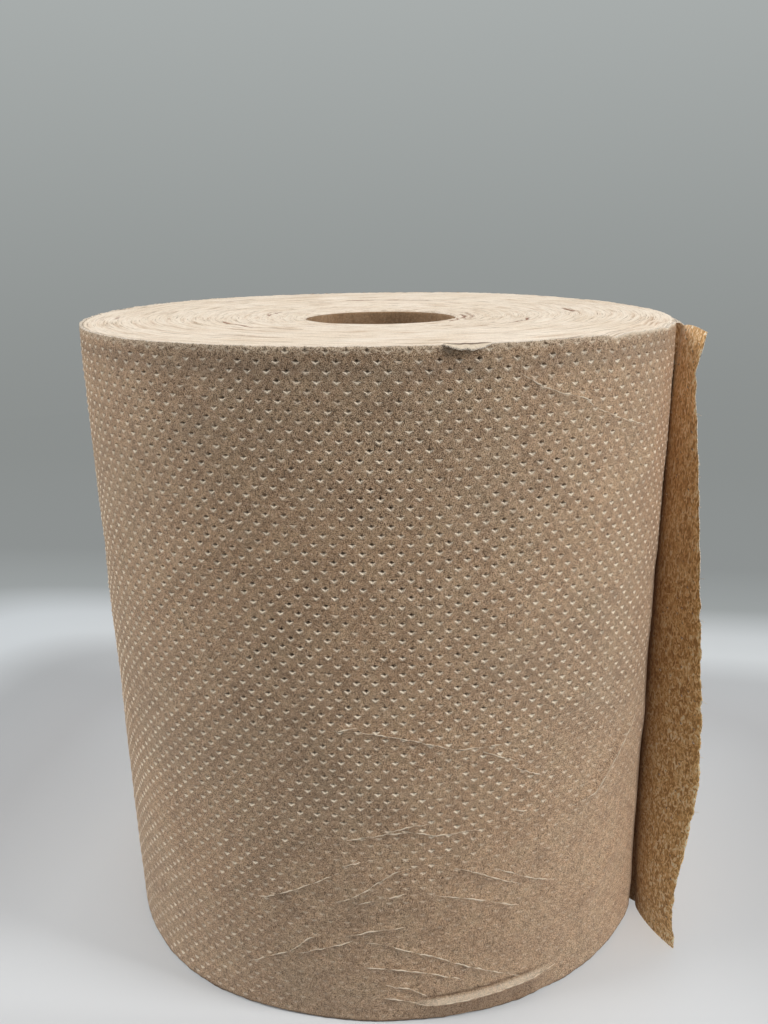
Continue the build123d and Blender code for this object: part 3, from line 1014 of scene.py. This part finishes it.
section = add_node(crisp_folds, "GeometryNodeCurvePrimitiveCircle", {
    "Resolution": given["Sides"], "Radius": 1.0,
})
ridges = add_node(crisp_folds, "GeometryNodeCurveToMesh", {
    "Curve": routes, "Profile Curve": section.outputs[0], "Scale": ridge_radius, "Fill Caps": True,
}).outputs[0]
finished(crisp_folds, ridges, kraft_material)

rng = np.random.default_rng(36)
points, links, sharpness = [], [], []
for line in fold_lines + [pleat_crest]:
    route = np.array(line)
    passed = route_lengths(route)[1]
    steps = np.linspace(0, passed[-1], max(6, int(passed[-1] / 0.7)))
    degrees, rise = np.interp(steps, passed, route[:, 0]), np.interp(steps, passed, route[:, 1])
    for _ in range(6):
        degrees[1:-1] = 0.5 * degrees[1:-1] + 0.25 * (degrees[:-2] + degrees[2:])
        rise[1:-1] = 0.5 * rise[1:-1] + 0.25 * (rise[:-2] + rise[2:])
    rise += 0.10 * unsteady(steps + 100 * rng.random(), 37, 2.0, 9.0)
    angle = np.radians(degrees)
    first = len(points)
    points += round_axis(packed_radius(angle) + stand_off(degrees, rise), angle, rise).tolist()
    links += [(first + k, first + k + 1) for k in range(len(steps) - 1)]
    sharpness.append(np.clip(0.82 + 0.50 * unsteady(steps + 100 * rng.random(), 38, 3.0, 18.0), 0.28, 1.3))


def swept_routes(name, points, links, sharpness, lip, sides):
    """A mesh swept along routes of points, as sharp or as fine as each point says."""
    mesh = bpy.data.meshes.new(name + "_routes")
    mesh.from_pydata((np.array(points) * MM).tolist(), links, [])
    store(mesh, "sharpness", sharpness)
    store(mesh, "lip", lip)
    return applied(name, mesh, crisp_folds, {"Ridge Radius": crest_radius * MM, "Sides": sides})


sharpness = np.concatenate(sharpness)
made = swept_routes("sheet_fold_crests", points, links, sharpness, 0.78 * np.clip(sharpness, 0, 1), 6)
made.polygons.foreach_set("use_smooth", np.ones(len(made.polygons), bool))
add_made("sheet_fold_crests", made, "paper_web")

# The torn tail. The end of the outer turn was torn off by hand, so it has a ragged, fluffy edge. It springs
# clear of the roll from a soft crease, bows a little towards the front, and stands on the floor with the
# roll. Its inner side faces the camera, in its own shade, and shows brushed fibres and no crisp dots.
tail_thickness = 0.28
torn_edge_thickness = 0.20
tail_width = 24.0
tail_top = 201.0
tail_bow = 1.3
tail_columns = 30
past_columns = 4  # columns of the sheet past the tail's root whose inner side is kept in full
mean_root_angle = -27.0
root_rows = [
    # height, and the angle where the tail leaves the roll
    (0, -27.7), (20, -28.4), (40, -28.2), (80, -27.5), (120, -26.3), (140, -24.8), (160, -22.3), (178, -19.6),
    (203, -19.0),
]
lift_rows = [
    # height, and how far the root stands off the roll
    (0, 1.9), (12, 1.5), (30, 0.7), (60, 0.0), (175, 0.0), (190, 0.9), (203, 1.9),
]
tip_rows = [
    # height, and the place of the torn edge across and along the view
    (0, 93.8, -66.9), (10, 92.2, -68.2), (20, 91.4, -68.4), (30, 92.9, -67.7), (45, 95.7, -66.0),
    (60, 97.8, -64.4), (80, 97.0, -64.6), (100, 95.1, -64.8), (120, 93.2, -64.6), (140, 91.8, -63.0),
    (160, 90.8, -60.0), (175, 90.0, -56.9), (185, 89.1, -55.8), (192, 88.9, -55.5), (198, 90.6, -55.5),
    (201, 91.4, -55.5), (203, 91.6, -55.5),
]


def eased(rows, column, heights):
    """A column of a table of heights, read at other heights and rounded off."""
    table = np.array(rows, float)
    fine = np.arange(-20.0, 224.0)
    values = np.interp(fine, table[:, 0], table[:, column])
    weights = np.hanning(13)
    values = np.convolve(np.pad(values, 5, "edge"), weights[1:-1] / weights.sum(), "valid")
    return np.interp(heights, fine, values)


alongs, rises, middle, turned = dot_grid(mean_root_angle * mm_per_degree, back_start * mm_per_degree, tail_top)
columns = tail_columns + len(alongs)
ragged = 0.22 * unsteady(rises, 41, 2.0, 30.0) + 0.10 * unsteady(rises, 42, 0.9, 2.4)
root_angle, lift = eased(root_rows, 1, rises), eased(lift_rows, 1, rises)
root_shift = root_angle - mean_root_angle
# Past its root the sheet lies on the roll, and its dots come into line with those of the back over 45 degrees.
along, rise = np.meshgrid(alongs, rises, indexing="ij")
past_root = (along - alongs[0]) / mm_per_degree
rise = slanted(along, rise, tail_top)
settled = smooth_step(past_root / 45.0)
degrees = along / mm_per_degree + root_shift[None, :] * (1 - settled)
angle = np.radians(degrees)
peeling = np.exp(-past_root / 9.0)
radius = packed_radius(angle) + stand_off(degrees, rise) * smooth_step(past_root / 6.0)
radius += 0.22 * (1 - settled) + lift[None, :] * peeling
slipped = smooth_step((rise - 150.0) / 51.0)
target_top = roll_height - rim_drop(angle)
height = rise + slipped * (target_top - tail_top) * smooth_step((degrees + 10.0) / 60.0)
on_roll = round_axis(radius, angle, height)
# The tail itself, from its torn edge to its root.
root = on_roll[0]
tip = np.stack([eased(tip_rows, 1, rises), eased(tip_rows, 2, rises), rises], 1)
reach = tip - root
across = np.linspace(0, 1, tail_columns, endpoint=False)[:, None, None]
sideways = np.stack([reach[:, 1], -reach[:, 0], np.zeros(len(rises))], 1) / tail_width
ripple = 0.16 * unsteady(rises, 43, 5.0, 26.0)[None, :, None] * (1 - across) ** 2
tail = tip + reach * (ragged / tail_width)[:, None] * (1 - across) ** 2 - reach * across
bowing = tail_bow * 4 * across * (1 - across) + ripple
tail = tail + sideways * bowing
crown = np.sin(np.pi * np.clip(1.25 * across[..., 0], 0, 1))
tail[..., 2] = rises + 0.9 * smooth_step((rises - 180.0) / 21.0) * crown
outer = np.concatenate([tail, on_roll])
for _ in range(12):  # rounds off the crease at the root
    window = slice(tail_columns - 5, tail_columns + 6)
    before, after = outer[tail_columns - 6:tail_columns + 5], outer[tail_columns - 4:tail_columns + 7]
    outer[window] = 0.5 * outer[window] + 0.25 * (before + after)
way_out = np.cross(np.gradient(outer, axis=0), np.gradient(outer, axis=1))
way_out /= np.linalg.norm(way_out, axis=2, keepdims=True)
# The tail has few dots, and they are weak.
dots = dot_strengths(middle, degrees, rise, tail_top)
rng = np.random.default_rng(44)
staggered = np.arange(tail_columns)[:, None] % 6 == 3 * (np.arange(len(rises))[None, :] // 4 % 2)
tail_middle = staggered & middle.any(0)[None, :]
tail_dots = np.where(tail_middle, rng.uniform(0.3, 0.9, tail_middle.shape), 0.0)
dots = np.concatenate([tail_dots, dots])
dots[:2] = 0
turned = np.concatenate([np.zeros((tail_columns, turned.shape[1]), bool), turned])
# Its inner side is modelled to just past the root. Beyond that the sheet reaches in to the wound turns.
thickness = np.full((columns, 1, 1), tail_thickness)
thickness[0] = torn_edge_thickness
inner = outer - way_out * thickness
fine_columns = tail_columns + past_columns
past_angle = angle[past_columns:]
on_turns = round_axis(packed_radius(past_angle) - skin_thickness, past_angle, 0 * past_angle)
inner[fine_columns:, :, :2] = on_turns[..., :2]
# off_root runs from 1 at the torn edge to 0 at the root; the material paints shade near the root from it.
off_root = np.zeros((columns, len(rises)))
off_root[:tail_columns] = np.linspace(1, 0, tail_columns)[:, None]
# Painted shade along the tail's foot, where it meets the floor.
crease = 0.85 * (rises[None, :] < 0.3) * (np.arange(columns)[:, None] > tail_columns)
outer_turn_tail = add_sheet("outer_turn_tail", outer, inner, way_out, dots, turned, fine_columns, 0.3,
                            off_root=off_root, crease=crease)
# Thin paper lets most of the light through, so the tail casts no shadow into the groove by its root.
outer_turn_tail.visible_shadow = False

# The loose fibres. A few long fibres of the paper stand out of the torn edge, still held in the sheet at one
# end. They are thin curled strands, swept with the same Geometry Nodes tree as the fold crests.
fibre_heights = [178.0, 165.0, 160.5, 152.0, 131.0, 118.0, 96.0, 90.5, 71.0, 52.0, 33.0, 18.0]
fibre_fineness = 0.35
rng = np.random.default_rng(46)
points, links = [], []
for rise in fibre_heights:
    row = np.argmin(np.abs(rises - rise))
    start, outwards = outer[0, row], outer[0, row] - outer[6, row]
    outwards = outwards / np.linalg.norm(outwards)
    length, curl, climb = rng.uniform(0.7, 2.2), rng.uniform(-0.6, 0.6), rng.uniform(-0.8, 0.8)
    aside = np.cross(outwards, (0, 0, 1))
    steps = np.linspace(0, 1, 7)[:, None]
    strand = start + outwards * (steps * length - 0.3) + aside * curl * steps ** 2
    strand = strand + np.array([0, 0, 1]) * climb * steps ** 1.5
    first = len(points)
    points += strand.tolist()
    links += [(first + k, first + k + 1) for k in range(6)]
count = len(points)
made = swept_routes("loose_fibres", points, links, np.full(count, fibre_fineness), np.full(count, 0.9), 5)
add_made("loose_fibres", made, "paper_web")
